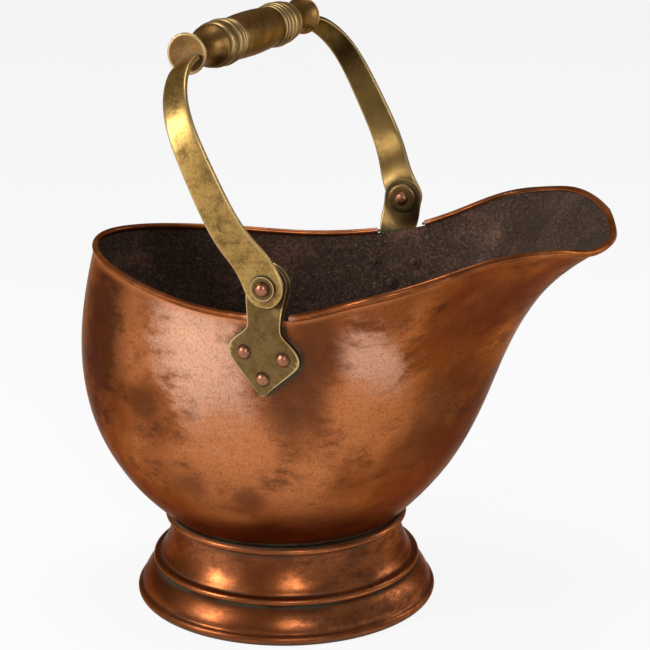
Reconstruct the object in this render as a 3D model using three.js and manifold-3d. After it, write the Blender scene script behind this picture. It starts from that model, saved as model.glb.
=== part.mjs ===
// A copper coal scuttle: a helmet-shaped sheet bowl with a wide pouring spout, standing on a
// spreading hollow foot, with a brass bail handle that swings between two riveted straps.
// Millimetres, +Z up. X runs towards the spout and Y across, and the two sides are alike.
// The shapes below are drawn from the foot's centre; the finished group is then moved along X,
// so that its origin lies on the floor under the middle of the outline.
import * as THREE from 'three';
import { mergeVertices } from 'three/addons/utils/BufferGeometryUtils.js';
import Module from 'manifold-3d';

// ---- Driving dimensions ----

const GAP = 0.3; // clear space between pieces that touch
const FOOT_X = -39.9; // the foot's centre, from the middle of the outline
const COPPER_SHEET = 1.2;

// Rim of the bowl, on one side: [along, out, up], from the spout's lip round to the back.
const RIM = [
  [226, 0, 275], [221, 30, 273], [209, 58, 275], [193, 84, 278], [172, 111, 277],
  [148, 135, 268], [122, 148.5, 257], [90, 145, 247], [57, 133.8, 238], [41, 128.2, 235.2],
  [25, 122.7, 233], [0, 114, 231], [-26, 104, 231], [-50, 94, 233], [-75, 81, 236],
  [-99, 64, 239], [-119, 44, 242], [-132, 22, 244], [-136, 0, 245],
];
const STRAP_STATION = 9; // the rim station under the pivot
const BEAD_END = 1; // stations from the strap's middle to the ends of the rim bead

// Below the rim the wall runs down to a round neck. Each value is given at the spout, at the
// side and at the back, and flows from one to the next round the bowl.
const BEARING_X = 40; // the bearings round the bowl are taken about this point
const NECK_R = 79.7;
const NECK_Z = 61.3;
const NECK_SLOPE = THREE.MathUtils.degToRad(41); // of the wall at the neck, above level
const LOWER_PULL = { front: 117.5, side: 75, back: 38 }; // how far the neck's slope reaches up
const UPPER_PULL = { front: 123.5, side: 135, back: 143 }; // how far the rim's slope reaches down
const RIM_SLOPE_DEG = { front: 34, side: 81, back: 106 }; // of the wall at the rim, above level
const WALL_STEPS = [0, 0.13, 0.26, 0.39, 0.52, 0.64, 0.74, 0.82, 0.89, 0.955];
const STEPS_PER_STATION = 2;

// Rim bead: sheet rolled round an iron wire, slotted over the wall's edge.
const BEAD_R = 2.5;
const BEAD_BORE_R = 1.7;
const BEAD_SLOT = THREE.MathUtils.degToRad(32); // half the slot's angle
const BEAD_POINTS = 7;
const WIRE_R = 1.3;
const WIRE_SIDES = 6;
const WIRE_OUT = 0.1; // stations by which the wire shows past the bead's end

// Foot, as [radius, height] of its outer side: neck bead, hollow cone, step bead and skirt.
const FOOT_SIDES = 40;
const NECK_BEAD = { r: 82, z: 58.5, bead: 2.6 };
const STEP_BEAD = { r: 91.2, z: 26.2, bead: 2.7 };
const BASE_ROLL = { r: 101.3, z: 3.2, bead: 3.7, sheet: 1 };
const FOOT_CONE = [[79.2, 54], [80.6, 48], [83.6, 39.5], [86.4, 33.4], [88.6, 29.6]];
const FOOT_SKIRT = [[91.9, 22.8], [93.2, 18], [96, 13], [100, 9.4], [102.9, 7.6]];

// Bail: pivot height, lean and arm. Along the arm: [height above the pivot, distance out from
// the eye's middle plane, half width].
const PIVOT_Z = 257;
const PIVOT_X = 41;
const BAIL_LEAN = THREE.MathUtils.degToRad(26.3); // how far the raised bail leans back
const GRIP_HEIGHT = 148.7;
const ARM_T = 4;
const ARM_EDGE = 0.8; // chamfer on the arm's edges
const EYE_R = 13;
const ARM = [
  [0, 0, 13], [11, 0, 12.4], [20, 3, 11.8], [30, 9, 11.3], [42, 14, 10.8], [57, 16, 10.4],
  [75, 16, 10], [92, 15.2, 9.6], [106, 13, 9.2], [118, 8, 8.8], [128, -0.1, 8.4],
  [136, -11, 8.1], [141.5, -23, 7.9], [144, -36.9, 7.8],
];
const ARM_STEPS = 22;

// Strap: an ear at the pivot, a neck across the rim and a spade-shaped plate on the wall.
// [below the pivot, half width]
const STRAP_T = 3;
const STRAP_GAP = 0.7; // between the plate and the wall, which is drawn in flat facets
const EAR_R = 14;
const EAR_Y = 131.5; // the ear's middle plane
const EAR_FLAT_R = 12.5; // the ear is flat out to here
const EAR_BLEND_R = 22; // and follows the wall from here
const STRAP = [
  [6, 13.3], [13, 13], [19, 12.8], [24, 12.4], [27.5, 12.2], [30.5, 13.4], [33, 16.2],
  [36, 20], [39.5, 23.8], [43.5, 26], [47.5, 26.2], [51, 24.2], [54.5, 20.8], [58.5, 16.6],
  [62.5, 12.4], [66.5, 8.2], [70, 4.6], [73.5, 1.4],
];
const STRAP_LEAN = 0.09; // how far the plate runs back for each millimetre down
const STRAP_COLUMNS = 6;
const STRAP_RIVETS = [[-14.2, 46], [14.2, 46], [0, 62]]; // [across, below the pivot]

// Rivets and washers
const RIVET = { shank: 2.2, hole: 2.5, head: 5.1, dome: 3.2, tail: 3.4, tailDome: 1.5, sides: 10 };
const ROVE = { r: 4.7, t: 1, stand: 0.6 };
const PIN = { shank: 3, hole: 3.3, head: 5, dome: 3.6, tail: 5.2, tailDome: 2.2, sides: 12 };
const OUTER_WASHER = { r: 7.9, t: 1.4 };
const SPACER = { r: 8, t: 2 }; // between the ear and the arm
const INNER_WASHER = { r: 11, t: 2.3, dish: 1.1 };

// Grip, a hollow turning on an iron rod: [from the end, radius] as far as the middle.
const GRIP_HALF = 100;
const GRIP_SIDES = 16;
const GRIP_ROD_R = 3;
const GRIP_HOLE_R = 3.4;
const GRIP_OUTSIDE = [
  [0, 12.4], [0.7, 13], [2.4, 13], [3.2, 12.3], [7, 11.1], [12, 10.2], [18, 9.8], [23, 10.1],
  [29, 11.5], [34, 13], [38.5, 13.8], [39.5, 13.2], [45, 14.1], [50.5, 15], [51.5, 14.4],
  [56, 15.3], [58.5, 15.3], [59.8, 14.4], [64, 14], [66.2, 14.4], [68, 13.6], [82, 14.4],
  [100, 14.7],
];
const GRIP_INSIDE = [[1.5, 10.2], [18, 8.2], [38, 11.8], [100, 12.9]];

const COLOURS = {
  copper: { color: 0x9a5a36, roughness: 0.42, metalness: 0.95 },
  polished: { color: 0xb8744c, roughness: 0.3, metalness: 0.95 },
  brass: { color: 0x85683a, roughness: 0.4, metalness: 0.95 },
  iron: { color: 0x8a8780, roughness: 0.5, metalness: 0.9 },
};

// ---- Tools for closed bodies ----

const wasm = await Module();
wasm.setup();

function signedVolume(geometry) {
  const at = geometry.getAttribute('position');
  const index = geometry.getIndex();
  const corner = [new THREE.Vector3(), new THREE.Vector3(), new THREE.Vector3()];
  let sum = 0;
  for (let k = 0; k < index.count; k += 3) {
    corner.forEach((point, n) => point.fromBufferAttribute(at, index.getX(k + n)));
    sum += corner[0].dot(corner[1].cross(corner[2]));
  }
  return sum / 6;
}

// Shares vertices that lie in the same place and turns every face outwards.
function closed(geometry) {
  const bare = new THREE.BufferGeometry();
  bare.setAttribute('position', geometry.getAttribute('position'));
  bare.setIndex(geometry.getIndex());
  const merged = mergeVertices(bare, 1e-4);
  const index = [...merged.getIndex().array];
  const kept = [];
  const flip = signedVolume(merged) < 0;
  for (let k = 0; k < index.length; k += 3) {
    const [a, b, c] = index.slice(k, k + 3);
    if (a !== b && b !== c && c !== a) kept.push(a, flip ? c : b, flip ? b : c);
  }
  merged.setIndex(kept);
  merged.computeVertexNormals();
  return merged;
}

function toSolid(geometry) {
  const merged = closed(geometry);
  return new wasm.Manifold(new wasm.Mesh({
    numProp: 3,
    vertProperties: new Float32Array(merged.getAttribute('position').array),
    triVerts: new Uint32Array(merged.getIndex().array),
  }));
}

function fromSolid(solid) {
  const mesh = solid.getMesh();
  const geometry = new THREE.BufferGeometry();
  geometry.setAttribute('position', new THREE.BufferAttribute(mesh.vertProperties, 3));
  geometry.setIndex(new THREE.BufferAttribute(mesh.triVerts, 1));
  return closed(geometry);
}

function cutFrom(geometry, cutters) {
  return fromSolid(cutters.reduce((solid, cutter) => solid.subtract(toSolid(cutter)), toSolid(geometry)));
}

// Skins a row of rings of points. A ring of one point closes that end to a tip. Rings with
// paired points, front then back, get flat ends; looped rings join the last to the first.
function skinned(rings, { looped = false, flatEnds = false } = {}) {
  const positions = [];
  const starts = [];
  rings.forEach((ring) => {
    starts.push(positions.length / 3);
    ring.forEach((point) => positions.push(point.x, point.y, point.z));
  });
  const faces = [];
  const last = looped ? rings.length : rings.length - 1;
  for (let k = 0; k < last; k += 1) {
    const next = (k + 1) % rings.length;
    const here = rings[k].length;
    const there = rings[next].length;
    const around = Math.max(here, there);
    for (let j = 0; j < around; j += 1) {
      const a = starts[k] + (j % here);
      const b = starts[k] + ((j + 1) % here);
      const c = starts[next] + ((j + 1) % there);
      const d = starts[next] + (j % there);
      if (here > 1) faces.push(a, b, c);
      if (there > 1) faces.push(a, c, d);
    }
  }
  if (flatEnds) {
    [0, rings.length - 1].forEach((end) => {
      const count = rings[end].length;
      for (let j = 0; j < count / 2 - 1; j += 1) {
        const front = starts[end] + j;
        const back = starts[end] + count - 1 - j;
        const quad = [front, back, back - 1, front, back - 1, front + 1];
        faces.push(...(end === 0 ? quad : quad.reverse()));
      }
    });
  }
  const geometry = new THREE.BufferGeometry();
  geometry.setAttribute('position', new THREE.Float32BufferAttribute(positions, 3));
  geometry.setIndex(faces);
  return closed(geometry);
}

// Turns a closed [radius, height] profile about Z.
function turned(profile, sides) {
  const points = profile.map(([r, z]) => new THREE.Vector2(r, z));
  return closed(new THREE.LatheGeometry(points, sides).rotateX(Math.PI / 2));
}

function mirrored(geometry) {
  return closed(geometry.clone().scale(1, -1, 1));
}

// Points of a circle's arc in a [radius, height] profile, from one angle to another in degrees.
function arc(r, z, radius, from, to, count) {
  return Array.from({ length: count }, (_, k) => {
    const angle = THREE.MathUtils.degToRad(from + ((to - from) * k) / (count - 1));
    return [r + radius * Math.cos(angle), z + radius * Math.sin(angle)];
  });
}

// ---- Bowl ----

const rimStations = RIM.concat(RIM.slice(1, -1).reverse().map(([x, y, z]) => [x, -y, z]));
const rimCurve = new THREE.CatmullRomCurve3(
  rimStations.map((station) => new THREE.Vector3(...station)), true, 'centripetal');

function rimAt(station) {
  return rimCurve.getPoint(THREE.MathUtils.euclideanModulo(station / rimStations.length, 1));
}

// A value that is set at the spout, the side and the back, at any bearing between.
function around(value, bearing) {
  const mean = (value.front + 2 * value.side + value.back) / 4;
  const swing = (value.front - value.back) / 2;
  const pinch = (value.front - 2 * value.side + value.back) / 4;
  return mean + swing * Math.cos(bearing) + pinch * Math.cos(2 * bearing);
}

// The wall's middle surface, as one curve from the neck up to each point of the rim.
function meridian(station) {
  const rim = rimAt(station);
  const bearing = Math.atan2(rim.y, rim.x - BEARING_X);
  const out = new THREE.Vector3(Math.cos(bearing), Math.sin(bearing), 0);
  const up = new THREE.Vector3(0, 0, 1);
  const sloping = (angle) => out.clone().multiplyScalar(Math.cos(angle)).addScaledVector(up, Math.sin(angle));
  const neck = out.clone().multiplyScalar(NECK_R).addScaledVector(up, NECK_Z);
  const rimSlope = THREE.MathUtils.degToRad(around(RIM_SLOPE_DEG, bearing));
  const lower = neck.clone().addScaledVector(sloping(NECK_SLOPE), around(LOWER_PULL, bearing));
  const upper = rim.clone().addScaledVector(sloping(rimSlope), -around(UPPER_PULL, bearing));
  return new THREE.CubicBezierCurve3(neck, lower, upper, rim);
}

function wallNormal(station, step) {
  const small = 0.02;
  const along = meridian(station + small).getPoint(step).sub(meridian(station - small).getPoint(step));
  return meridian(station).getTangent(step).cross(along).negate().normalize();
}

// The rim's own frame: its point, the wall's direction square to the rim, and the outward side.
function rimFrame(station) {
  const share = THREE.MathUtils.euclideanModulo(station / rimStations.length, 1);
  const along = rimCurve.getTangent(share);
  const rise = meridian(station).getTangent(1);
  rise.addScaledVector(along, -rise.dot(along)).normalize();
  return { point: rimAt(station), along, rise, out: along.clone().cross(rise) };
}

function bowlShell(side) {
  const half = (side * COPPER_SHEET) / 2;
  const columns = rimStations.length * STEPS_PER_STATION;
  const stations = Array.from({ length: columns }, (_, k) => k / STEPS_PER_STATION);
  const dome = NECK_R / Math.sin(NECK_SLOPE);
  const domeZ = NECK_Z + dome * Math.cos(NECK_SLOPE);
  const rings = [[new THREE.Vector3(0, 0, domeZ - dome - half)]];
  [1 / 3, 2 / 3].forEach((share) => {
    const angle = NECK_SLOPE * share;
    rings.push(stations.map((station) => {
      const out = meridian(station).getPoint(0).setZ(0).setLength((dome + half) * Math.sin(angle));
      return out.setZ(domeZ - (dome + half) * Math.cos(angle));
    }));
  });
  WALL_STEPS.forEach((step) => {
    rings.push(stations.map((station) => (
      meridian(station).getPoint(step).addScaledVector(wallNormal(station, step), half))));
  });
  rings.push(stations.map((station) => {
    const frame = rimFrame(station);
    return frame.point.addScaledVector(frame.rise, -BEAD_BORE_R).addScaledVector(frame.out, half);
  }));
  return rings;
}

function bowl() {
  const holes = rivetPlaces().flatMap((place) => [place, mirroredPlace(place)])
    .map((place) => atPlace(new THREE.CylinderGeometry(RIVET.hole, RIVET.hole, 16, 12), place));
  return cutFrom(skinned([...bowlShell(1), ...bowlShell(-1).reverse()]), holes);
}

// ---- Rim bead and its wire ----

function rimRun(from, to, section, ends) {
  const steps = [from];
  for (let k = Math.floor(from * STEPS_PER_STATION) + 1; k < to * STEPS_PER_STATION; k += 1) {
    steps.push(k / STEPS_PER_STATION);
  }
  steps.push(to);
  return skinned(steps.map((station) => {
    const frame = rimFrame(station);
    return section.map(([rise, out]) => frame.point.clone()
      .addScaledVector(frame.rise, rise).addScaledVector(frame.out, out));
  }), ends);
}

function bead(from, to) {
  const open = 180 - THREE.MathUtils.radToDeg(BEAD_SLOT);
  const outside = arc(0, 0, BEAD_R, -open, open, BEAD_POINTS);
  const inside = arc(0, 0, BEAD_BORE_R, open, -open, BEAD_POINTS);
  return rimRun(from, to, [...outside, ...inside], { flatEnds: true });
}

function rimWire(from, to) {
  const turn = 360 / WIRE_SIDES;
  const section = arc(0, 0, WIRE_R, turn / 2, 360 - turn / 2, WIRE_SIDES);
  return rimRun(from - WIRE_OUT, to + WIRE_OUT, section, { flatEnds: true });
}

// ---- Foot ----

function foot() {
  const inward = ([r, z]) => [r - COPPER_SHEET, z];
  const { r, z, bead: roll, sheet } = BASE_ROLL;
  const flat = THREE.MathUtils.radToDeg(Math.asin(z / roll));
  const flatInside = THREE.MathUtils.radToDeg(Math.asin((z - sheet / 2) / (roll - sheet)));
  const bore = roll - sheet;
  const outside = [
    ...arc(NECK_BEAD.r, NECK_BEAD.z, NECK_BEAD.bead, 130, -140, 7),
    ...FOOT_CONE,
    ...arc(STEP_BEAD.r, STEP_BEAD.z, STEP_BEAD.bead, 60, -60, 4),
    ...FOOT_SKIRT,
    ...arc(r, z, roll, 58, -flat, 4),
    ...arc(r, z, roll, flat - 180, -215, 3),
  ];
  const inside = [
    ...arc(r, z, bore, -215, flatInside - 180, 3),
    ...arc(r, z, bore, -flatInside, 78, 4),
    ...[FOOT_SKIRT[2], FOOT_SKIRT[0]].map(inward),
    [STEP_BEAD.r + 1, STEP_BEAD.z],
    ...[FOOT_CONE[3], FOOT_CONE[1]].map(inward),
    [NECK_BEAD.r - 4.4, NECK_BEAD.z - 0.6],
  ];
  return turned([...outside, ...inside, outside[0]], FOOT_SIDES);
}

// ---- Straps ----

// The wall's middle surface at one height on a meridian; above the rim it runs on straight.
function wallAtHeight(station, z) {
  const curve = meridian(station);
  const rim = curve.getPoint(1);
  if (z >= rim.z) {
    const rise = curve.getTangent(1);
    return rim.addScaledVector(rise, (z - rim.z) / rise.z);
  }
  let low = 0;
  let high = 1;
  for (let k = 0; k < 22; k += 1) {
    const middle = (low + high) / 2;
    if (curve.getPoint(middle).z < z) low = middle;
    else high = middle;
  }
  return curve.getPoint(low);
}

function wallAt(x, z) {
  let front = STRAP_STATION - 5;
  let back = STRAP_STATION + 5;
  for (let k = 0; k < 20; k += 1) {
    const middle = (front + back) / 2;
    if (wallAtHeight(middle, z).x > x) front = middle;
    else back = middle;
  }
  return wallAtHeight(front, z);
}

// A surface's outward side on the +Y half, where the surface is given by x and z.
function outwardSide(surface, x, z) {
  const small = 0.5;
  const along = surface(x + small, z).sub(surface(x - small, z));
  const rise = surface(x, z + small).sub(surface(x, z - small));
  return rise.cross(along).normalize();
}

// The strap's middle surface: it lies on the wall and turns flat towards the pivot.
function strapAt(x, z) {
  const lift = COPPER_SHEET / 2 + STRAP_GAP + STRAP_T / 2;
  const onWall = wallAt(x, z).addScaledVector(outwardSide(wallAt, x, z), lift);
  const reach = Math.hypot(x - PIVOT_X, z - PIVOT_Z);
  const follow = THREE.MathUtils.smoothstep(reach, EAR_FLAT_R, EAR_BLEND_R);
  const y = THREE.MathUtils.lerp(EAR_Y, onWall.y, follow);
  return new THREE.Vector3(
    THREE.MathUtils.lerp(x, onWall.x, follow), y, THREE.MathUtils.lerp(z, onWall.z, follow));
}

// The along value of a point of the strap, given by its place across the strap and its drop.
function strapX(across, drop) {
  return PIVOT_X + across - STRAP_LEAN * Math.max(drop, 0);
}

function strapRows() {
  const ear = [12, 32, 52, 72, 90].map((degrees) => {
    const angle = THREE.MathUtils.degToRad(degrees);
    return [-EAR_R * Math.cos(angle), EAR_R * Math.sin(angle)];
  });
  return [...ear, ...STRAP];
}

function strap() {
  const rings = strapRows().map(([drop, half]) => {
    const front = [];
    const back = [];
    for (let k = 0; k < STRAP_COLUMNS; k += 1) {
      const x = strapX(half * ((2 * k) / (STRAP_COLUMNS - 1) - 1), drop);
      const z = PIVOT_Z - drop;
      const middle = strapAt(x, z);
      const out = outwardSide(strapAt, x, z).multiplyScalar(STRAP_T / 2);
      front.push(middle.clone().add(out));
      back.unshift(middle.clone().sub(out));
    }
    return [...front, ...back];
  });
  const pinHole = new THREE.CylinderGeometry(PIN.hole, PIN.hole, 16, PIN.sides).translate(PIVOT_X, EAR_Y, PIVOT_Z);
  const rivetHoles = rivetPlaces()
    .map((place) => atPlace(new THREE.CylinderGeometry(RIVET.hole, RIVET.hole, 16, 12), place));
  return cutFrom(skinned(rings, { flatEnds: true }), [pinHole, ...rivetHoles]);
}

// ---- Strap rivets ----

// Where each rivet of the +Y strap stands, on the strap's middle surface, and which way it faces.
function rivetPlaces() {
  return STRAP_RIVETS.map(([across, drop]) => {
    const x = strapX(across, drop);
    const z = PIVOT_Z - drop;
    return { at: strapAt(x, z), out: outwardSide(strapAt, x, z) };
  });
}

function mirroredPlace({ at, out }) {
  const flip = new THREE.Vector3(1, -1, 1);
  return { at: at.clone().multiply(flip), out: out.clone().multiply(flip) };
}

// Moves a geometry that was drawn along +Y to a place.
function atPlace(geometry, { at, out }) {
  const turn = new THREE.Quaternion().setFromUnitVectors(new THREE.Vector3(0, 1, 0), out);
  return geometry.applyQuaternion(turn).translate(at.x, at.y, at.z);
}

// A domed head and a peened tail on one shank, along +Y. The heights are of the undersides.
function rivet(kind, headY, tailY) {
  const outline = [
    [0, headY + kind.dome],
    [kind.head * 0.45, headY + kind.dome * 0.9],
    [kind.head * 0.8, headY + kind.dome * 0.58],
    [kind.head, headY],
    [kind.shank, headY],
    [kind.shank, tailY],
    [kind.tail, tailY],
    [kind.tail * 0.7, tailY - kind.tailDome * 0.75],
    [0, tailY - kind.tailDome],
  ];
  return closed(new THREE.LatheGeometry(outline.map((point) => new THREE.Vector2(...point)), kind.sides));
}

// A flat or dished ring along +Y, from its inner face's height outwards.
function washer({ r, t, dish = 0 }, holeR, y, sides) {
  const outline = [[holeR, y], [r - dish, y], [r, y + dish], [r, y + t], [holeR, y + t], [holeR, y]];
  return closed(new THREE.LatheGeometry(outline.map((point) => new THREE.Vector2(...point)), sides));
}

const wallInnerY = -(STRAP_T / 2 + STRAP_GAP + COPPER_SHEET); // below the strap's middle surface
const roveY = wallInnerY - ROVE.stand - ROVE.t;

function strapRivet(place) {
  return atPlace(rivet(RIVET, STRAP_T / 2 + GAP, roveY - GAP), place);
}

function rove(place) {
  return atPlace(washer(ROVE, RIVET.hole, roveY, RIVET.sides), place);
}

// ---- Pivots ----

const spacerY = EAR_Y + STRAP_T / 2 + GAP;
const armInnerY = spacerY + SPACER.t + GAP;
const armOuterY = armInnerY + ARM_T;
const innerWasherY = EAR_Y - STRAP_T / 2 - GAP - INNER_WASHER.t;

function pivotPin() {
  const headY = armOuterY + GAP + OUTER_WASHER.t + GAP;
  return rivet(PIN, headY, innerWasherY - GAP).translate(PIVOT_X, 0, PIVOT_Z);
}

function outerWasher() {
  return washer(OUTER_WASHER, PIN.hole, armOuterY + GAP, PIN.sides + 2).translate(PIVOT_X, 0, PIVOT_Z);
}

function spacer() {
  return washer(SPACER, PIN.hole, spacerY, PIN.sides + 2).translate(PIVOT_X, 0, PIVOT_Z);
}

function innerWasher() {
  return washer(INNER_WASHER, PIN.hole, innerWasherY, PIN.sides + 2).translate(PIVOT_X, 0, PIVOT_Z);
}

// ---- Bail, drawn upright about its pivot and then leant back ----

function armRows() {
  const middleY = armInnerY + ARM_T / 2;
  const path = new THREE.CatmullRomCurve3(
    ARM.map(([up, out]) => new THREE.Vector3(0, middleY + out, up)), false, 'centripetal');
  const rows = [12, 32, 52, 72].map((degrees) => {
    const angle = THREE.MathUtils.degToRad(degrees);
    return {
      at: new THREE.Vector3(0, middleY, -EYE_R * Math.cos(angle)),
      along: new THREE.Vector3(0, 0, 1),
      half: EYE_R * Math.sin(angle),
    };
  });
  for (let k = 0; k <= ARM_STEPS; k += 1) {
    const share = k / ARM_STEPS;
    const place = share * (ARM.length - 1);
    const left = Math.min(Math.floor(place), ARM.length - 2);
    rows.push({
      at: path.getPoint(share),
      along: path.getTangent(share),
      half: THREE.MathUtils.lerp(ARM[left][2], ARM[left + 1][2], place - left),
    });
  }
  return rows;
}

function arm() {
  const across = new THREE.Vector3(1, 0, 0);
  const face = ARM_T / 2;
  const rings = armRows().map(({ at, along, half }) => {
    const out = across.clone().cross(along).negate();
    const edge = Math.min(ARM_EDGE, half / 3);
    const side = [[-half, face - ARM_EDGE], [edge - half, face], [half - edge, face], [half, face - ARM_EDGE]];
    const section = [...side, ...side.slice().reverse().map(([x, y]) => [x, -y])];
    return section.map(([x, y]) => at.clone().addScaledVector(across, x).addScaledVector(out, y));
  });
  const hole = new THREE.CylinderGeometry(PIN.hole, PIN.hole, 30, PIN.sides).translate(0, armInnerY, 0);
  return cutFrom(skinned(rings, { flatEnds: true }), [hole]);
}

// Both halves of a grip profile, from one end through the middle to the other.
function bothHalves(half) {
  const near = half.map(([from, r]) => new THREE.Vector2(r, from - GRIP_HALF));
  const far = half.slice(0, -1).reverse().map(([from, r]) => new THREE.Vector2(r, GRIP_HALF - from));
  return [...near, ...far];
}

function grip() {
  const outside = bothHalves([[0, GRIP_HOLE_R], ...GRIP_OUTSIDE]);
  const inside = bothHalves([[GRIP_INSIDE[0][0], GRIP_HOLE_R], ...GRIP_INSIDE]).reverse();
  return closed(new THREE.LatheGeometry([...outside, ...inside, outside[0].clone()], GRIP_SIDES));
}

function gripRod() {
  return closed(new THREE.CylinderGeometry(GRIP_ROD_R, GRIP_ROD_R, 2 * GRIP_HALF, 10));
}

// ---- Assembly ----

function piece(name, geometry, finish) {
  const mesh = new THREE.Mesh(geometry, new THREE.MeshStandardMaterial({ ...COLOURS[finish] }));
  mesh.name = name;
  return mesh;
}

// The +Y piece is the far one and its mirror image the near one.
function pair(name, geometry, finish) {
  return [piece(`${name}_far`, geometry, finish), piece(`${name}_near`, mirrored(geometry), finish)];
}

const frontEnd = STRAP_STATION - BEAD_END;
const backStart = STRAP_STATION + BEAD_END;
const lastStation = rimStations.length;

const body = new THREE.Group();
body.add(piece('bowl', bowl(), 'copper'));
body.add(piece('foot', foot(), 'copper'));
body.add(piece('rim_bead_front', bead(-frontEnd, frontEnd), 'copper'));
body.add(piece('rim_bead_back', bead(backStart, lastStation - backStart), 'copper'));
body.add(piece('rim_wire_front', rimWire(-frontEnd, frontEnd), 'iron'));
body.add(piece('rim_wire_back', rimWire(backStart, lastStation - backStart), 'iron'));
body.add(...pair('strap', strap(), 'brass'));
rivetPlaces().forEach((place, k) => {
  body.add(...pair(`strap_rivet_${k + 1}`, strapRivet(place), 'polished'));
  body.add(...pair(`rove_${k + 1}`, rove(place), 'polished'));
});
body.add(...pair('pivot_pin', pivotPin(), 'polished'));
body.add(...pair('spacer', spacer(), 'polished'));
body.add(...pair('outer_washer', outerWasher(), 'polished'));
body.add(...pair('inner_washer', innerWasher(), 'brass'));

const bail = new THREE.Group();
bail.position.set(PIVOT_X, 0, PIVOT_Z);
bail.rotation.y = -BAIL_LEAN;
bail.add(...pair('arm', arm(), 'brass'));
[['grip', grip(), 'brass'], ['grip_rod', gripRod(), 'iron']].forEach(([name, geometry, finish]) => {
  const mesh = piece(name, geometry, finish);
  mesh.position.z = GRIP_HEIGHT;
  bail.add(mesh);
});

const scuttle = new THREE.Group();
scuttle.add(body, bail);
scuttle.position.x = FOOT_X;

export default scuttle;
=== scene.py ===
"""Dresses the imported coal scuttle: smooth aged copper, tarnished brass, a plain studio."""

import math

import bpy
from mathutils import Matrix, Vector


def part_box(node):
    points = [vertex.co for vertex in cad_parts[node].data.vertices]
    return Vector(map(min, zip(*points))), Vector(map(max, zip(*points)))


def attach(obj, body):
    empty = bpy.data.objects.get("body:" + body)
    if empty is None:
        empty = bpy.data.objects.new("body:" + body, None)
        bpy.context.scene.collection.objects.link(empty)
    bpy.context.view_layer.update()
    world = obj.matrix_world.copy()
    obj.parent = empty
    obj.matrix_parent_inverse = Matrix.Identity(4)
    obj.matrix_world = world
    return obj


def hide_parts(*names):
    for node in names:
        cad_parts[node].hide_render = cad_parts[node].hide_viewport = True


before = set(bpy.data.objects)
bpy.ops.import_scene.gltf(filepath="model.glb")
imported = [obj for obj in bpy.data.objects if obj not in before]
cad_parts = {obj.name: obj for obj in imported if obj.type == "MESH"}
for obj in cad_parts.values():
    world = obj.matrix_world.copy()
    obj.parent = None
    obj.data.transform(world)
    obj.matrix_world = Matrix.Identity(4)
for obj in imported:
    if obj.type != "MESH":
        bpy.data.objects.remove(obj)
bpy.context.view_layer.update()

bl_info = {
    "name": "Copper coal scuttle",
    "version": (1, 0, 0),
    "blender": (4, 5, 0),
    "location": "3D View > Sidebar > Scuttle",
    "description": "Aged copper and brass finishes and a plain studio for a coal scuttle",
    "category": "Object",
}

SIDES = ("far", "near")
MERGE_DISTANCE = 1e-5
SMOOTH_ANGLE = math.radians(40)  # edges flatter than this shade smooth
TURNED_SMOOTH_ANGLE = math.radians(50)
SHARP_ANGLE = math.radians(50)  # edges sharper than this stay crisp when a piece is subdivided
BEAD_SHARP_ANGLE = math.radians(65)
ARM_SHARP_ANGLE = math.radians(60)
QUAD_FACE_ANGLE = math.radians(40)  # triangles that join to quads: the fold and the skew allowed
QUAD_SHAPE_ANGLE = math.radians(70)
BOWL_MIDDLE = Vector((0.0, 0.0, 0.40))  # a point that every outer face of the bowl looks away from
RIVET_NUMBERS = (1, 2, 3)

# The spout's rim, rounder than the CAD rim: the lowest and highest heights of the fade, the
# swelling's middle and spread along X, the Y where it is full, its moves out and up, and the
# lip's start and end along X, half width and moves along X and up. All in metres.
SPOUT_FADE = (0.16, 0.25)
SWELL_X = 0.072
SWELL_SPREAD = 0.036
SWELL_Y = 0.13
SWELL_MOVE = (0.0072, 0.0062)
LIP_X = (0.13, 0.186)
LIP_HALF = 0.062
LIP_MOVE = (-0.003, -0.0055)

# Painted highlights (bright and pinkish) and painted shade (dark) on the bowl: middle, reach along
# each axis, the setting that holds the colour, and how much of it shows in the middle. The near side comes
# first, then the far side.
BOWL_LIGHT_AND_SHADE_PATCHES = [
    ((-0.060, -0.110, 0.216), (0.042, 0.06, 0.050), "painted_highlight", 0.95),
    ((-0.042, -0.116, 0.176), (0.034, 0.06, 0.046), "painted_highlight", 0.70),
    ((-0.031, -0.118, 0.140), (0.046, 0.06, 0.034), "bright", 0.80),
    ((0.067, -0.130, 0.210), (0.020, 0.06, 0.038), "painted_highlight", 0.80),
    ((0.056, -0.122, 0.174), (0.026, 0.06, 0.040), "bright", 0.90),
    ((-0.146, -0.068, 0.195), (0.034, 0.06, 0.075), "patina_and_shade", 0.90),
    ((-0.100, -0.090, 0.160), (0.016, 0.05, 0.014), "patina_and_shade", 0.55),
    ((0.012, -0.125, 0.190), (0.030, 0.06, 0.042), "patina_and_shade", 0.60),
    ((0.036, -0.137, 0.226), (0.020, 0.06, 0.036), "patina_and_shade", 0.55),
    ((0.100, -0.045, 0.155), (0.050, 0.06, 0.060), "patina_and_shade", 0.60),
    ((0.130, -0.080, 0.235), (0.040, 0.06, 0.040), "patina_and_shade", 0.50),
    ((-0.019, -0.116, 0.109), (0.012, 0.04, 0.011), "patina_and_shade", 0.60),
    ((-0.062, -0.113, 0.112), (0.013, 0.04, 0.009), "patina_and_shade", 0.45),
    ((0.012, -0.106, 0.086), (0.016, 0.04, 0.007), "bright", 0.80),
    ((-0.034, -0.106, 0.090), (0.020, 0.04, 0.010), "bright", 0.95),
    ((-0.050, 0.115, 0.200), (0.050, 0.06, 0.050), "painted_highlight", 0.70),
    ((0.060, 0.130, 0.190), (0.030, 0.06, 0.050), "bright", 0.80),
    ((0.010, 0.125, 0.150), (0.040, 0.06, 0.030), "patina_and_shade", 0.60),
    ((-0.150, 0.030, 0.190), (0.030, 0.05, 0.050), "bright", 0.70),
]

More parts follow.
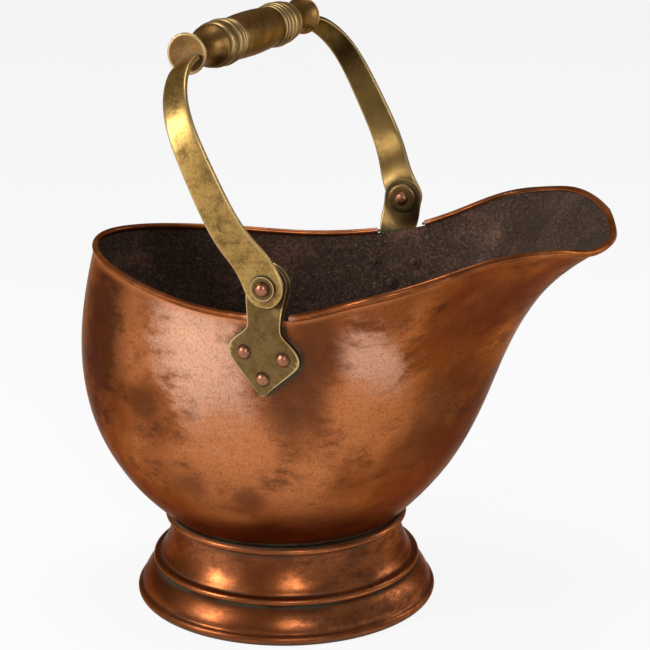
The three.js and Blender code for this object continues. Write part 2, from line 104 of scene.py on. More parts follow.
# Foot, as (height, radius) in millimetres, a bead as (height, radius, its own radius).
MM = 0.001
FOOT_STEPS = 128
NECK_BEAD = (58.5, 82.0, 2.6)
STEP_BEAD = (26.2, 91.0, 2.6)
BASE_ROLL = (3.7, 101.3, 3.7)
FOOT_CONE = [(55.0, 79.6), (51.0, 80.1), (45.0, 81.6), (39.5, 83.5), (34.0, 86.0), (30.6, 88.2),
             (29.2, 88.7)]
FOOT_SKIRT = [(23.2, 91.4), (21.6, 93.9), (18.6, 96.6), (14.8, 99.2), (11.0, 101.0), (8.0, 101.7)]
FOOT_INSIDE = [(1.0, 98.5), (8.6, 99.4), (13.0, 95.2), (22.8, 90.4), (29.0, 87.2), (40.0, 82.0),
               (54.0, 78.0), (59.5, 76.0)]  # ends under the bowl, so that no gap shows

# Grip, as (distance from its end, radius) in millimetres. The lip is a bead, as above, and each
# ring is (start, end, groove radius, crest radius).
GRIP_STEPS = 72
GRIP_FACE = [(1.3, 0.0), (1.25, 4.0), (1.0, 8.0), (0.5, 11.0), (0.15, 12.2)]
GRIP_LIP = (1.3, 12.0, 1.15)
GRIP_TRUMPET = [(2.9, 12.3), (4.6, 11.7), (8.0, 10.8), (12.5, 10.1), (18.0, 9.8), (23.0, 10.2),
                (28.0, 11.3), (32.5, 12.8), (35.6, 13.7), (37.6, 13.7), (38.7, 13.0)]
GRIP_RINGS = [(39.3, 50.6, 13.1, 14.9), (51.3, 57.7, 14.0, 15.4), (58.4, 62.2, 13.8, 14.9),
              (62.9, 66.7, 13.4, 14.5)]
GRIP_BARREL = [(67.4, 13.2), (69.5, 13.6), (75.0, 14.1), (85.0, 14.6), (100.0, 14.85)]

# Lamps: name, place, width and height in metres, power in watts. All look at LAMP_TARGET.
LAMP_TARGET = (0.0, 0.0, 0.2)
LAMPS = [
    ("key_lamp", (-0.95, -1.0, 0.7), (0.16, 0.7), 13.0),
    ("front_lamp", (0.75, -1.5, 0.9), (0.15, 0.6), 9.0),
    ("top_lamp", (-0.1, 0.3, 1.7), (0.6, 0.6), 8.0),
    ("back_lamp", (1.2, 0.9, 0.7), (0.2, 0.7), 4.0),
]
AIR_LIGHT = 0.25
SENSOR_WIDTH = 36.0
FLOOR_SIDES = 96
SOLDER_REACH = (0.0215, 0.0255)  # from the strap's middle: plain solder, and where it ends
LOW_BAND = (0.065, 0.14)  # heights between which the painted shade on the bowl's lower part fades out


# ---- Settings ----

def colour_property(name, description, default):
    return bpy.props.FloatVectorProperty(
        name=name, description=description, default=default, size=3, subtype="COLOR", min=0, max=1)


def length_property(name, description, default):
    return bpy.props.FloatProperty(
        name=name, description=description, default=default, unit="LENGTH", precision=5)


class CopperSettings(bpy.types.PropertyGroup):
    """Colours and surface of the sheet copper."""

    # Painted highlight: only the bowl's placed patches use it.
    painted_highlight: colour_property("Rubbed copper", "Pinkish, polished places", (0.74, 0.39, 0.25))
    # Bright copper: random lighter tone, and also the bowl's painted highlight patches and the worn edges'
    # partly painted highlight.
    bright: colour_property("Bright copper", "Orange, clean places", (0.55, 0.180, 0.062))
    warm: colour_property("Warm copper", "Most of the bowl", (0.255, 0.070, 0.020))
    # Painted shade: darkens the bowl's lower part.
    low_shade: colour_property("Deep copper", "Lower part of the bowl", (0.16, 0.038, 0.010))
    # Patina: brown blotches, and also the bowl's placed patches of painted shade.
    patina_and_shade: colour_property("Patina", "Brown blotches", (0.062, 0.023, 0.012))
    # Specks: also the dark of the painted crease shade on the copper.
    speck: colour_property("Specks", "Small dark pits and spots", (0.022, 0.012, 0.008))
    soot: colour_property("Soot", "Darkest parts of the bowl's inside", (0.062, 0.040, 0.030))
    soot_rust: colour_property("Rubbed soot", "Reddish parts of the bowl's inside", (0.24, 0.115, 0.078))
    # Verdigris also colours the crease shade that ambient occlusion paints.
    verdigris: colour_property("Verdigris", "Green dirt in the creases", (0.050, 0.066, 0.048))
    solder: colour_property("Solder", "Grey metal at the ends of the rim's bead", (0.20, 0.18, 0.155))
    dent_depth: length_property("Dent depth", "Unevenness of the hand-worked bowl", 0.0007)
    dent_size: length_property("Dent size", "Distance from dent to dent", 0.05)


class BrassSettings(bpy.types.PropertyGroup):
    """Colours of the brass straps and bail, and of the rivets."""

    # Bright brass: also the worn edges' brightening, partly a painted edge highlight.
    bright: colour_property("Bright brass", "Worn edges and faces", (0.62, 0.44, 0.20))
    # The near arm's olive tone and the far arm's darker dull tone are lit and shaded copies of one brass:
    # the far arm's darkness is painted shade.
    warm: colour_property("Olive brass", "The near arm", (0.44, 0.265, 0.078))
    dull: colour_property("Dull brass", "The far arm", (0.150, 0.092, 0.028))
    golden: colour_property("Golden brass", "The grip", (0.260, 0.138, 0.048))
    brown: colour_property("Brown brass", "The straps", (0.185, 0.112, 0.040))
    tarnish: colour_property("Tarnish", "Brown blotches on the brass", (0.10, 0.055, 0.02))
    rivet: colour_property("Rivet copper", "Polished rivet heads", (0.36, 0.150, 0.085))


class StudioSettings(bpy.types.PropertyGroup):
    """The camera, the floor and the lamps."""

    camera_place: bpy.props.FloatVectorProperty(
        name="Camera place", description="Where the camera stands",
        default=(0.4321, -1.192, 0.565), size=3, subtype="TRANSLATION", unit="LENGTH")
    camera_pitch: bpy.props.FloatProperty(
        name="Camera pitch", description="How far the camera looks down",
        default=math.radians(16.23), subtype="ANGLE", unit="ROTATION")
    camera_turn: bpy.props.FloatProperty(
        name="Camera turn", description="How far the camera is turned about the vertical",
        default=math.radians(20.38), subtype="ANGLE", unit="ROTATION")
    lens: bpy.props.FloatProperty(
        name="Lens", description="Focal length", default=107.8, subtype="DISTANCE_CAMERA")
    floor_radius: length_property("Floor radius", "Size of the plain floor", 25.0)
    floor_glow: bpy.props.FloatProperty(
        name="Floor white", description="Share of the floor that shows as plain white",
        default=0.88, min=0, max=1, subtype="FACTOR")


# ---- Modelling steps ----

def only(piece):
    """Leaves one object selected and active."""
    bpy.ops.object.select_all(action="DESELECT")
    piece.select_set(True)
    bpy.context.view_layer.objects.active = piece


def add_modifier(piece, kind, **settings):
    only(piece)
    modifier = piece.modifiers.new(kind, kind)
    for name, value in settings.items():
        setattr(modifier, name, value)
    bpy.ops.object.modifier_apply(modifier=modifier.name)


def merged_copy(node, name):
    """A copy of a CAD node's mesh, its loose triangles merged and joined to quads."""
    piece = bpy.data.objects.new(name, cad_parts[node].data.copy())
    bpy.context.scene.collection.objects.link(piece)
    piece.data.materials.clear()
    only(piece)
    bpy.ops.mesh.customdata_custom_splitnormals_clear()
    bpy.ops.object.mode_set(mode="EDIT")
    bpy.ops.mesh.select_all(action="SELECT")
    bpy.ops.mesh.remove_doubles(threshold=MERGE_DISTANCE)
    bpy.ops.mesh.tris_convert_to_quads(face_threshold=QUAD_FACE_ANGLE, shape_threshold=QUAD_SHAPE_ANGLE)
    bpy.ops.mesh.faces_shade_smooth()
    bpy.ops.object.mode_set(mode="OBJECT")
    return piece


def turned_piece(name, profile, middle, axis, steps):
    """A closed profile of (along the axis, radius) points, in metres, spun about an axis."""
    across = Vector((1.0, 0.0, 0.0))
    bpy.ops.object.select_all(action="DESELECT")
    bpy.ops.mesh.primitive_circle_add(vertices=len(profile), radius=0.01)
    piece = bpy.context.active_object
    piece.name = piece.data.name = name
    for vertex, (along, radius) in zip(piece.data.vertices, profile):
        vertex.co = middle + axis * along + across * radius
    only(piece)
    bpy.ops.object.mode_set(mode="EDIT")
    bpy.ops.mesh.select_all(action="SELECT")
    bpy.ops.mesh.spin(steps=steps, angle=2 * math.pi, center=middle, axis=axis)
    bpy.ops.mesh.select_all(action="SELECT")
    bpy.ops.mesh.remove_doubles(threshold=MERGE_DISTANCE)
    bpy.ops.mesh.dissolve_degenerate(threshold=MERGE_DISTANCE)
    bpy.ops.mesh.select_all(action="SELECT")
    bpy.ops.mesh.normals_make_consistent(inside=False)
    bpy.ops.object.mode_set(mode="OBJECT")
    bpy.ops.object.shade_smooth_by_angle(angle=TURNED_SMOOTH_ANGLE)
    return piece


def arc(along, radius, bead, start, end, count):
    """Points of a bead's arc in a profile, from one angle to another in degrees."""
    angles = [math.radians(start + (end - start) * k / (count - 1)) for k in range(count)]
    return [(along + bead * math.sin(angle), radius + bead * math.cos(angle)) for angle in angles]


def half_round(start, end, groove, crest, count=9):
    """Points of a half-round ring between two grooves."""
    points = []
    for k in range(count):
        angle = math.pi * k / (count - 1)
        points.append(((start + end) / 2 - (end - start) / 2 * math.cos(angle),
                       groove + (crest - groove) * math.sin(angle) ** 0.8))
    return points


def eased(points, steps=4):
    """A smooth curve through the points of a profile."""
    ends = [points[0], *points, points[-1]]
    curve = []
    for k in range(len(points) - 1):
        before, start, end, after = ends[k:k + 4]
        for step in range(steps):
            t = step / steps
            curve.append(tuple(
                0.5 * (2 * b + (c - a) * t + (2 * a - 5 * b + 4 * c - d) * t ** 2
                       + (3 * b - a - 3 * c + d) * t ** 3)
                for a, b, c, d in zip(before, start, end, after)))
    return [*curve, points[-1]]


def eased_spout(piece):
    """Rounds the pouring lip and swells the rim beside it, fading out down the wall."""
    for vertex in piece.data.vertices:
        x, y, z = vertex.co
        up = smoothstep((z - SPOUT_FADE[0]) / (SPOUT_FADE[1] - SPOUT_FADE[0]))
        beside = math.exp(-((x - SWELL_X) / SWELL_SPREAD) ** 2) * min(abs(y) / SWELL_Y, 1.0)
        lip = smoothstep((x - LIP_X[0]) / (LIP_X[1] - LIP_X[0])) * max(0.0, 1.0 - (y / LIP_HALF) ** 2)
        vertex.co.x += up * lip * LIP_MOVE[0]
        vertex.co.y += up * beside * math.copysign(SWELL_MOVE[0], y)
        vertex.co.z += up * (beside * SWELL_MOVE[1] + lip * LIP_MOVE[1])


def smoothstep(share):
    share = min(max(share, 0.0), 1.0)
    return share * share * (3.0 - 2.0 * share)


def crease_sharp_edges(piece, angle):
    """Keeps edges that are sharper than an angle crisp when the piece is subdivided."""
    only(piece)
    bpy.ops.object.mode_set(mode="EDIT")
    bpy.ops.mesh.select_mode(type="EDGE")
    bpy.ops.mesh.select_all(action="DESELECT")
    bpy.ops.mesh.edges_select_sharp(sharpness=angle)
    bpy.ops.transform.edge_crease(value=1.0)
    bpy.ops.object.mode_set(mode="OBJECT")


def smoothed(piece, levels):
    add_modifier(piece, "SUBSURF", levels=levels, render_levels=levels)
    only(piece)
    bpy.ops.object.shade_smooth_by_angle(angle=SMOOTH_ANGLE)


def finished(piece, body, nodes, slot, *materials):
    """Hands a piece over: its materials, the body it rides on and the nodes it stands for."""
    for material in materials:
        piece.data.materials.append(material)
    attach(piece, body)
    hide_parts(*nodes)


# ---- Finishes ----

def add_node(tree, kind, inputs=None, **settings):
    """A shader node with its settings, and inputs that are values or other nodes' outputs."""
    node = tree.nodes.new(kind)
    for name, value in settings.items():
        setattr(node, name, value)
    for name, value in (inputs or {}).items():
        if isinstance(value, bpy.types.NodeSocket):
            tree.links.new(value, node.inputs[name])
        else:
            node.inputs[name].default_value = value
    return node


def new_finish(name):
    """An empty material, its tree and the object coordinates."""
    finish = bpy.data.materials.new(name)
    finish.use_nodes = True
    tree = finish.node_tree
    tree.nodes.clear()
    return finish, tree, add_node(tree, "ShaderNodeTexCoord").outputs["Object"]


def noise(tree, place, scale, detail=4.0, roughness=0.6, distortion=0.0):
    return add_node(tree, "ShaderNodeTexNoise", {
        "Vector": place, "Scale": scale, "Detail": detail, "Roughness": roughness,
        "Distortion": distortion}).outputs["Fac"]


def between(tree, value, low, high, out_low=0.0, out_high=1.0):
    """A value eased from one range to another."""
    return add_node(tree, "ShaderNodeMapRange", {
        "Value": value, "From Min": low, "From Max": high, "To Min": out_low, "To Max": out_high},
        interpolation_type="SMOOTHSTEP").outputs["Result"]


def maths(tree, operation, first, second, third=0.0):
    inputs = {0: first, 1: second, 2: third}
    return add_node(tree, "ShaderNodeMath", inputs, operation=operation).outputs[0]


def blended(tree, share, first, second):
    """Two colours mixed; each is a colour or an output."""
    def full(colour):
        return colour if isinstance(colour, bpy.types.NodeSocket) else (*colour, 1.0)
    return add_node(tree, "ShaderNodeMix", {0: share, 6: full(first), 7: full(second)},
                    data_type="RGBA").outputs[2]


def stretched(tree, place, scale, turn=(0.0, 0.0, 0.0)):
    return add_node(tree, "ShaderNodeMapping", {
        "Vector": place, "Scale": scale, "Rotation": turn}).outputs["Vector"]


def scratches(tree, place, turn, scale, threshold):
    """Thin lines along one direction, broken up so that they come and go."""
    long_lines = noise(tree, stretched(tree, place, scale, turn), 1.0, 3.0, 0.55, 0.3)
    return between(tree, long_lines, threshold, threshold + 0.05)


def creases(tree, reach):
    """Ambient occlusion: one in narrow creases and where parts meet, zero on open faces; the finishes
    darken these places as painted shade.
    """
    occlusion = add_node(tree, "ShaderNodeAmbientOcclusion", {"Distance": reach}, samples=6)
    return between(tree, occlusion.outputs["AO"], 0.55, 0.95, 1.0, 0.0)


def edges(tree, low=0.51, high=0.56):
    """One on outward edges, by pointiness; the finishes brighten them as worn edges that also serve as
    painted edge highlights.
    """
    shape = add_node(tree, "ShaderNodeNewGeometry")
    return between(tree, shape.outputs["Pointiness"], low, high)


def bumps(tree, height, strength, distance):
    return add_node(tree, "ShaderNodeBump", {
        "Height": height, "Strength": strength, "Distance": distance}).outputs["Normal"]


def surface(tree, colour, metallic, roughness, normal, edge_tint=(0.46, 0.36, 0.29)):
    shader = add_node(tree, "ShaderNodeBsdfPrincipled", {
        "Base Color": colour, "Metallic": metallic, "Roughness": roughness, "Normal": normal,
        "Specular IOR Level": 0.2, "Specular Tint": (*edge_tint, 1.0)})
    add_node(tree, "ShaderNodeOutputMaterial", {"Surface": shader.outputs["BSDF"]})


def patch(tree, place, unevenness, middle, reach, share):
    """A soft uneven spot about a place."""
    offset = add_node(tree, "ShaderNodeMapping", {
        "Vector": place, "Location": middle, "Scale": reach}, vector_type="TEXTURE").outputs["Vector"]
    far = add_node(tree, "ShaderNodeVectorMath", {0: offset}, operation="LENGTH").outputs["Value"]
    return between(tree, maths(tree, "ADD", far, unevenness), 0.35, 1.15, share, 0.0)


def sheet_copper(name, settings, age=0.5, low_dark=0.0, solder=None, light_and_shade_patches=()):
    """Aged copper: placed patches of painted highlight and painted shade, brown blotches, specks,
    scratches, creases holding dirt and darkened as painted shade, and worn edges brightened partly as
    painted edge highlights.

    A greater age has more blotches, low_dark is the share of painted shade darkening the copper low down,
    and solder is the X about which the solder lies.
    """
    finish, tree, place = new_finish(name)
    broad = noise(tree, place, 13.0, 3.0, 0.55)
    cloudy = noise(tree, stretched(tree, place, (0.7, 0.7, 1.6)), 42.0, 9.0, 0.74)
    grain = noise(tree, place, 620.0, 5.0, 0.78)
    pits = noise(tree, place, 1300.0, 2.0, 0.6)
    colour = blended(tree, between(tree, broad, 0.38, 0.66), settings.warm, settings.bright)
    blotch = maths(tree, "MULTIPLY", between(tree, cloudy, 0.50 - 0.10 * age, 0.80 - 0.16 * age), 0.8)
    colour = blended(tree, blotch, colour, settings.patina_and_shade)
    unevenness = maths(tree, "SUBTRACT", maths(tree, "MULTIPLY", cloudy, 2.2), 1.1)
    # Painted highlights and painted shade, placed in patches.
    for middle, reach, tone, share in light_and_shade_patches:
        spot = patch(tree, place, unevenness, middle, reach, share)
        colour = blended(tree, spot, colour, getattr(settings, tone))
    mottled = maths(tree, "MULTIPLY", between(tree, grain, 0.44, 0.70), 0.52)
    colour = blended(tree, mottled, colour, settings.patina_and_shade)
    # Painted shade: darker towards the bottom of the bowl.
    if low_dark:
        height = add_node(tree, "ShaderNodeSeparateXYZ", {"Vector": place}).outputs["Z"]
        ragged = maths(tree, "MULTIPLY_ADD", cloudy, 0.05, -0.025)
        low = between(tree, maths(tree, "ADD", height, ragged), *LOW_BAND, low_dark, 0.0)
        colour = blended(tree, low, colour, settings.low_shade)
    speckled = between(tree, noise(tree, place, 24.0, 3.0, 0.6), 0.46, 0.62)
    specks = maths(tree, "MULTIPLY", between(tree, pits, 0.60, 0.68), speckled)
    colour = blended(tree, maths(tree, "MULTIPLY", specks, 0.75), colour, settings.speck)
    lines = scratches(tree, place, (0.2, 0.35, 0.3), (28.0, 28.0, 1500.0), 0.66)
    lines = maths(tree, "MULTIPLY", lines, between(tree, noise(tree, place, 15.0, 2.0), 0.5, 0.62))
    colour = blended(tree, maths(tree, "MULTIPLY", lines, 0.4), colour, settings.speck)
    crease = creases(tree, 0.005)
    dull = maths(tree, "MAXIMUM", maths(tree, "MULTIPLY", specks, 0.6),
                 maths(tree, "MULTIPLY", crease, 0.9))
    metallic = maths(tree, "SUBTRACT", 0.92, dull)
    # Painted shade and dirt: creases and places where parts meet, found by ambient occlusion, take a dark
    # speck and verdigris colour.
    crease_dirt_and_shade = blended(tree, between(tree, cloudy, 0.42, 0.58), settings.speck, settings.verdigris)
    colour = blended(tree, maths(tree, "MULTIPLY", crease, 0.9), colour, crease_dirt_and_shade)
    if solder:
        along = add_node(tree, "ShaderNodeSeparateXYZ", {"Vector": place}).outputs["X"]
        off = maths(tree, "ABSOLUTE", maths(tree, "SUBTRACT", along, solder), 0.0)
        ragged = maths(tree, "MULTIPLY", noise(tree, place, 160.0, 3.0), 0.008)
        near = between(tree, maths(tree, "ADD", off, ragged), *SOLDER_REACH, 1.0, 0.0)
        colour = blended(tree, near, colour, settings.solder)
    # Worn edges brightened, partly a painted edge highlight.
    wear_and_edge_highlight = maths(tree, "MULTIPLY", edges(tree), 0.6)
    colour = blended(tree, wear_and_edge_highlight, colour, settings.bright)
    roughness = maths(tree, "ADD", between(tree, cloudy, 0.3, 0.75, 0.26, 0.46),
                      maths(tree, "MULTIPLY", crease, 0.25))
    height = maths(tree, "ADD", maths(tree, "MULTIPLY", grain, 0.5), maths(tree, "MULTIPLY", specks, -0.6))
    surface(tree, colour, metallic, roughness, bumps(tree, height, 0.22, 0.0004))
    return finish


def sooty_copper(name, settings):
    """The bowl's inside: near black, with reddish worn places and pale scratches, and painted shade
    towards the spout.
    """
    finish, tree, place = new_finish(name)
    cloudy = noise(tree, place, 22.0, 9.0, 0.74)
    grain = noise(tree, place, 330.0, 4.0, 0.7)
    colour = blended(tree, between(tree, cloudy, 0.46, 0.70), settings.soot, settings.soot_rust)
    colour = blended(tree, maths(tree, "MULTIPLY", between(tree, grain, 0.50, 0.64), 0.5), colour,
                     settings.soot_rust)
    along = add_node(tree, "ShaderNodeSeparateXYZ", {"Vector": place}).outputs["X"]
    # Painted shade: the inside grows darker towards +X, the spout's side.
    colour = blended(tree, between(tree, along, -0.06, 0.06, 0.0, 0.45), colour, settings.soot)
    pits = between(tree, noise(tree, place, 480.0, 5.0, 0.8), 0.44, 0.60)
    colour = blended(tree, maths(tree, "MULTIPLY", pits, 0.72), colour, settings.speck)
    pale = (0.30, 0.22, 0.17)
    flecks = between(tree, noise(tree, place, 700.0, 2.0, 0.6), 0.62, 0.70)
    colour = blended(tree, maths(tree, "MULTIPLY", flecks, 0.6), colour, pale)
    lines = scratches(tree, place, (0.5, 0.2, 0.9), (40.0, 1300.0, 40.0), 0.66)
    colour = blended(tree, maths(tree, "MULTIPLY", lines, 0.35), colour, pale)
    height = maths(tree, "ADD", grain, maths(tree, "MULTIPLY", cloudy, 0.6))
    surface(tree, colour, 0.25, between(tree, cloudy, 0.3, 0.7, 0.66, 0.5),
            bumps(tree, height, 0.5, 0.0006))
    return finish


def old_brass(name, settings, greens, tone):
    """Tarnished brass with brown blotches, worn edges painted bright, partly as edge highlights, and green
    dirt with painted shade in the creases.
    """
    finish, tree, place = new_finish(name)
    cloudy = noise(tree, place, 85.0, 9.0, 0.76)
    grain = noise(tree, place, 620.0, 5.0, 0.78)
    colour = blended(tree, between(tree, cloudy, 0.36, 0.56, 0.25, 1.0), settings.tarnish, tone)
    colour = blended(tree, between(tree, cloudy, 0.58, 0.78, 0.0, 0.35), colour, settings.bright)
    colour = blended(tree, maths(tree, "MULTIPLY", between(tree, grain, 0.48, 0.66), 0.6), colour,
                     settings.tarnish)
    crease = creases(tree, 0.005)
    # Painted shade and dirt: creases found by ambient occlusion take tarnish and green.
    crease_dirt_and_shade = blended(tree, between(tree, cloudy, 0.45, 0.55), settings.tarnish, greens)
    colour = blended(tree, crease, colour, crease_dirt_and_shade)
    # Worn edges brightened, partly a painted edge highlight.
    colour = blended(tree, maths(tree, "MULTIPLY", edges(tree, 0.505, 0.54), 0.8), colour, settings.bright)
    roughness = maths(tree, "ADD", between(tree, cloudy, 0.3, 0.7, 0.44, 0.32),
                      maths(tree, "MULTIPLY", crease, 0.2))
    surface(tree, colour, 0.95, roughness, bumps(tree, grain, 0.25, 0.0003))
    return finish


def rivet_metal(name, colour, dark):
    """Copper worn bright by handling, with painted shade in tarnish colour where it meets the plate."""
    finish, tree, place = new_finish(name)
    cloudy = noise(tree, place, 240.0, 4.0, 0.6)
    shade = blended(tree, between(tree, cloudy, 0.48, 0.72, 0.0, 0.6), colour, dark)
    # Painted shade: tarnish colour where ambient occlusion finds the plate close by.
    shade = blended(tree, creases(tree, 0.0035), shade, dark)
    surface(tree, shade, 1.0, between(tree, cloudy, 0.3, 0.7, 0.30, 0.46),
            bumps(tree, cloudy, 0.15, 0.0003))
    return finish


def dull_iron(name, colour):
    finish, tree, place = new_finish(name)
    cloudy = noise(tree, place, 300.0, 4.0, 0.6)
    dark = tuple(0.4 * part for part in colour)
    shade = blended(tree, between(tree, cloudy, 0.4, 0.65), colour, dark)
    surface(tree, shade, 0.9, 0.5, bumps(tree, cloudy, 0.3, 0.0003))
    return finish


# ---- Operators, one for each group of like pieces ----

class BowlOperator(bpy.types.Operator):
    """Makes the helmet-shaped bowl, copper outside and sooty inside"""

    bl_idname = "scuttle.bowl"
    bl_label = "Bowl"

    def execute(self, context):
        settings = context.scene.scuttle_copper
        bowl = merged_copy("bowl", "bowl_sheet")
        crease_sharp_edges(bowl, SHARP_ANGLE)
        smoothed(bowl, 2)
        eased_spout(bowl)
        dents = bpy.data.textures.new("hand_worked_dents", "CLOUDS")
        dents.noise_scale = settings.dent_size
        add_modifier(bowl, "DISPLACE", texture=dents, texture_coords="LOCAL",
                     strength=settings.dent_depth, mid_level=0.5)
        # Outside: painted highlights and painted shade in placed patches, and painted shade low down.
        outside = sheet_copper("bowl_copper", settings, age=0.5, low_dark=0.88, light_and_shade_patches=BOWL_LIGHT_AND_SHADE_PATCHES)
        inside = sooty_copper("bowl_soot", settings)
        finished(bowl, "scuttle", ["bowl"], "copper", outside, inside)
        for face in bowl.data.polygons:
            face.material_index = 0 if face.normal.dot(face.center - BOWL_MIDDLE) > 0 else 1
        return {"FINISHED"}


class FootOperator(bpy.types.Operator):
    """Makes the spreading foot with its beads and rolled base"""

    bl_idname = "scuttle.foot"
    bl_label = "Foot"

    def execute(self, context):
        profile = [
            *arc(*NECK_BEAD, 130, -140, 15), *eased(FOOT_CONE), *arc(*STEP_BEAD, 70, -80, 10),
            *eased(FOOT_SKIRT), *arc(*BASE_ROLL, 62, -90, 12), *FOOT_INSIDE]
        low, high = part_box("foot")
        middle = Vector(((low.x + high.x) / 2, 0.0, 0.0))
        profile = [(along * MM, radius * MM) for along, radius in profile]
        foot = turned_piece("foot_ring", profile, middle, Vector((0.0, 0.0, 1.0)), FOOT_STEPS)
        # low_dark at a quarter share darkens the whole foot a little.
        finish = sheet_copper("foot_copper", context.scene.scuttle_copper, age=1.15, low_dark=0.25)
        finished(foot, "scuttle", ["foot"], "copper", finish)
        return {"FINISHED"}


class RimOperator(bpy.types.Operator):
    """Makes the rolled bead round the bowl's rim, soldered at its ends"""

    bl_idname = "scuttle.rim"
    bl_label = "Rim"

    def execute(self, context):
        settings = context.scene.scuttle_copper
        low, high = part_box("pivot_pin_near")
        finish = sheet_copper("rim_copper", settings, age=0.7, solder=(low.x + high.x) / 2)
        for end in ("front", "back"):
            bead = merged_copy(f"rim_bead_{end}", f"rim_roll_{end}")
            crease_sharp_edges(bead, BEAD_SHARP_ANGLE)
            smoothed(bead, 2)
            eased_spout(bead)
            finished(bead, "scuttle", [f"rim_bead_{end}"], "copper", finish)
        iron = dull_iron("rim_wire_iron", settings.solder)
        for end in ("front", "back"):
            wire = merged_copy(f"rim_wire_{end}", f"rim_core_{end}")
            smoothed(wire, 1)
            eased_spout(wire)
            finished(wire, "scuttle", [f"rim_wire_{end}"], "iron_wire", iron)
        return {"FINISHED"}


class StrapsOperator(bpy.types.Operator):
    """Makes the two brass straps with their crisp edges, worn and painted bright partly as edge highlights
    """

    bl_idname = "scuttle.straps"
    bl_label = "Straps"

    def execute(self, context):
        settings = context.scene.scuttle_brass
        finish = old_brass("strap_brass", settings, context.scene.scuttle_copper.verdigris, settings.brown)
        for side in SIDES:
            strap = merged_copy(f"strap_{side}", f"strap_plate_{side}")
            crease_sharp_edges(strap, SHARP_ANGLE)
            smoothed(strap, 3)
            finished(strap, "scuttle", [f"strap_{side}"], "brass", finish)
        return {"FINISHED"}


def sooty_inside(rivet):
    """Gives the soot finish to the rivet's inner half, nearer the middle of the scuttle."""
    heights = [abs(face.center.y) for face in rivet.data.polygons]
    middle = (min(heights) + max(heights)) / 2
    for face, height in zip(rivet.data.polygons, heights):
        face.material_index = 0 if height > middle else 1


class RivetsOperator(bpy.types.Operator):
    """Makes the straps' rivets and the pivots' pins and washers"""

    bl_idname = "scuttle.rivets"
    bl_label = "Rivets and pivots"

    def execute(self, context):
        settings = context.scene.scuttle_brass
        finish = rivet_metal("rivet_copper", settings.rivet, settings.tarnish)
        brass = old_brass("washer_brass", settings, context.scene.scuttle_copper.verdigris, settings.brown)
        soot = sooty_copper("rivet_soot", context.scene.scuttle_copper)
        kinds = [(f"strap_rivet_{number}", f"rivet_{number}", "rivet_copper", finish)
                 for number in RIVET_NUMBERS]
        kinds += [(f"rove_{number}", f"rove_ring_{number}", "rivet_copper", soot)
                  for number in RIVET_NUMBERS]
        kinds += [("pivot_pin", "pivot_rivet", "rivet_copper", finish),
                  ("spacer", "pivot_spacer", "rivet_copper", brass),
                  ("outer_washer", "pivot_ring", "rivet_copper", brass),
                  ("inner_washer", "dished_washer", "brass", brass)]
        for node, name, slot, metal in kinds:
            for side in SIDES:
                piece = merged_copy(f"{node}_{side}", f"{name}_{side}")
                crease_sharp_edges(piece, SHARP_ANGLE)
                smoothed(piece, 3)
                finished(piece, "scuttle", [f"{node}_{side}"], slot, metal)
                if node.startswith("strap_rivet"):
                    piece.data.materials.append(soot)
                    sooty_inside(piece)
        return {"FINISHED"}


class BailOperator(bpy.types.Operator):
    """Makes the bail's two arms"""

    bl_idname = "scuttle.bail"
    bl_label = "Bail arms"

    def execute(self, context):
        settings = context.scene.scuttle_brass
        # Painted shade: the far arm takes the darker dull brass and the near arm the lit olive brass.
        for side, tone in zip(SIDES, (settings.dull, settings.warm)):
            finish = old_brass(f"arm_brass_{side}", settings, context.scene.scuttle_copper.verdigris, tone)
            arm = merged_copy(f"arm_{side}", f"bail_arm_{side}")
            crease_sharp_edges(arm, ARM_SHARP_ANGLE)
            smoothed(arm, 2)
            finished(arm, "bail", [f"arm_{side}"], "brass", finish)
        return {"FINISHED"}


class GripOperator(bpy.types.Operator):
    """Makes the turned grip"""

    bl_idname = "scuttle.grip"
    bl_label = "Grip"

    def execute(self, context):
        settings = context.scene.scuttle_brass
        low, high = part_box("grip")
        half = [*GRIP_FACE, *arc(*GRIP_LIP, -60, 60, 7), *eased(GRIP_TRUMPET)]
        for ring in GRIP_RINGS:
            half += half_round(*ring)
        half += eased(GRIP_BARREL)
        near = [(low.y + along * MM, radius * MM) for along, radius in half]
        far = [(high.y - along * MM, radius * MM) for along, radius in reversed(half[:-1])]
        middle = Vector(((low.x + high.x) / 2, 0.0, (low.z + high.z) / 2))
        grip = turned_piece("turned_grip", near + far, middle, Vector((0.0, 1.0, 0.0)), GRIP_STEPS)
        finish = old_brass("grip_brass", settings, context.scene.scuttle_copper.verdigris, settings.golden)
        finished(grip, "bail", ["grip", "grip_rod"], "brass", finish)
        return {"FINISHED"}


def soft_lamp(name, place, target, size, power):
    lamp = bpy.data.lights.new(name, "AREA")
    lamp.shape = "RECTANGLE"
    lamp.size, lamp.size_y = size
    lamp.energy = power
    holder = bpy.data.objects.new(name, lamp)
    bpy.context.scene.collection.objects.link(holder)
    holder.location = place
    holder.rotation_euler = (Vector(target) - Vector(place)).to_track_quat("-Z", "Y").to_euler()


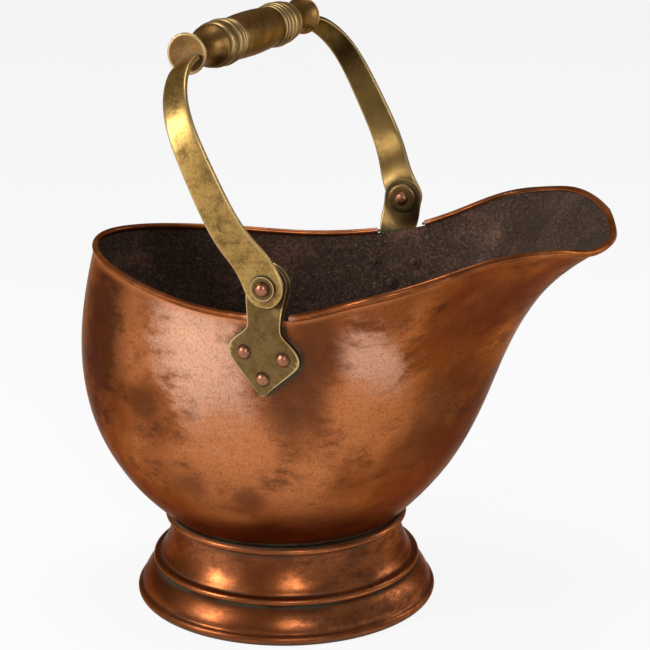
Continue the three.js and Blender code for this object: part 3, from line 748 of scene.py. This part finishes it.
class StageOperator(bpy.types.Operator):
    """Sets the floor, the lamps, the world and the camera"""

    bl_idname = "scuttle.stage"
    bl_label = "Stage"

    def execute(self, context):
        settings = context.scene.scuttle_studio
        bpy.ops.object.select_all(action="DESELECT")
        bpy.ops.mesh.primitive_circle_add(
            vertices=FLOOR_SIDES, radius=settings.floor_radius, fill_type="NGON")
        floor = context.active_object
        floor.name = "floor"
        floor.data.materials.append(pale_floor("floor_paper", settings.floor_glow))
        for name, place, size, power in LAMPS:
            soft_lamp(name, place, LAMP_TARGET, size, power)
        world = bpy.data.worlds.new("studio_air")
        world.use_nodes = True
        backdrop = world.node_tree.nodes["Background"]
        backdrop.inputs["Color"].default_value = (1.0, 1.0, 1.0, 1.0)
        backdrop.inputs["Strength"].default_value = AIR_LIGHT
        context.scene.world = world
        eye = bpy.data.cameras.new("camera")
        eye.lens = settings.lens
        eye.sensor_width = SENSOR_WIDTH
        eye.clip_end = 2 * settings.floor_radius
        camera = bpy.data.objects.new("camera", eye)
        context.scene.collection.objects.link(camera)
        camera.location = settings.camera_place
        camera.rotation_euler = (math.pi / 2 - settings.camera_pitch, 0.0, settings.camera_turn)
        context.scene.camera = camera
        context.scene.view_settings.view_transform = "Standard"
        return {"FINISHED"}


def pale_floor(name, glow):
    """White paper that keeps a soft shadow and shows white to the camera and in reflections."""
    finish, tree, place = new_finish(name)
    ray = add_node(tree, "ShaderNodeLightPath")
    seen = maths(tree, "MAXIMUM", ray.outputs["Is Camera Ray"], ray.outputs["Is Glossy Ray"])
    seen = maths(tree, "MAXIMUM", seen, ray.outputs["Is Transmission Ray"])
    tone = noise(tree, place, 3.0, 2.0)
    paper = add_node(tree, "ShaderNodeBsdfDiffuse", {
        "Color": blended(tree, tone, (0.86, 0.86, 0.86), (0.88, 0.88, 0.88))})
    white = add_node(tree, "ShaderNodeEmission", {"Strength": 1.0})
    mixed = add_node(tree, "ShaderNodeMixShader", {
        0: maths(tree, "MULTIPLY", seen, glow), 1: paper.outputs[0], 2: white.outputs[0]})
    add_node(tree, "ShaderNodeOutputMaterial", {"Surface": mixed.outputs[0]})
    return finish


OPERATORS = (BowlOperator, FootOperator, RimOperator, StrapsOperator, RivetsOperator, BailOperator,
             GripOperator, StageOperator)


class ScuttlePanel(bpy.types.Panel):
    """Lists the scuttle's pieces and their settings"""

    bl_idname = "VIEW3D_PT_scuttle"
    bl_label = "Coal scuttle"
    bl_space_type = "VIEW_3D"
    bl_region_type = "UI"
    bl_category = "Scuttle"

    def draw(self, context):
        for operator in OPERATORS:
            self.layout.operator(operator.bl_idname)
        for setting in SETTINGS:
            group = getattr(context.scene, setting)
            box = self.layout.box()
            for name in group.bl_rna.properties.keys():
                if name not in ("rna_type", "name"):
                    box.prop(group, name)


SETTINGS = {
    "scuttle_copper": CopperSettings,
    "scuttle_brass": BrassSettings,
    "scuttle_studio": StudioSettings,
}
CLASSES = (*SETTINGS.values(), *OPERATORS, ScuttlePanel)


def register():
    for kind in CLASSES:
        bpy.utils.register_class(kind)
    for name, kind in SETTINGS.items():
        setattr(bpy.types.Scene, name, bpy.props.PointerProperty(type=kind))


def unregister():
    for name in SETTINGS:
        delattr(bpy.types.Scene, name)
    for kind in reversed(CLASSES):
        bpy.utils.unregister_class(kind)


def main():
    register()
    bpy.ops.scuttle.bowl()
    bpy.ops.scuttle.foot()
    bpy.ops.scuttle.rim()
    bpy.ops.scuttle.straps()
    bpy.ops.scuttle.rivets()
    bpy.ops.scuttle.bail()
    bpy.ops.scuttle.grip()
    bpy.ops.scuttle.stage()


if __name__ == "__main__":
    main()
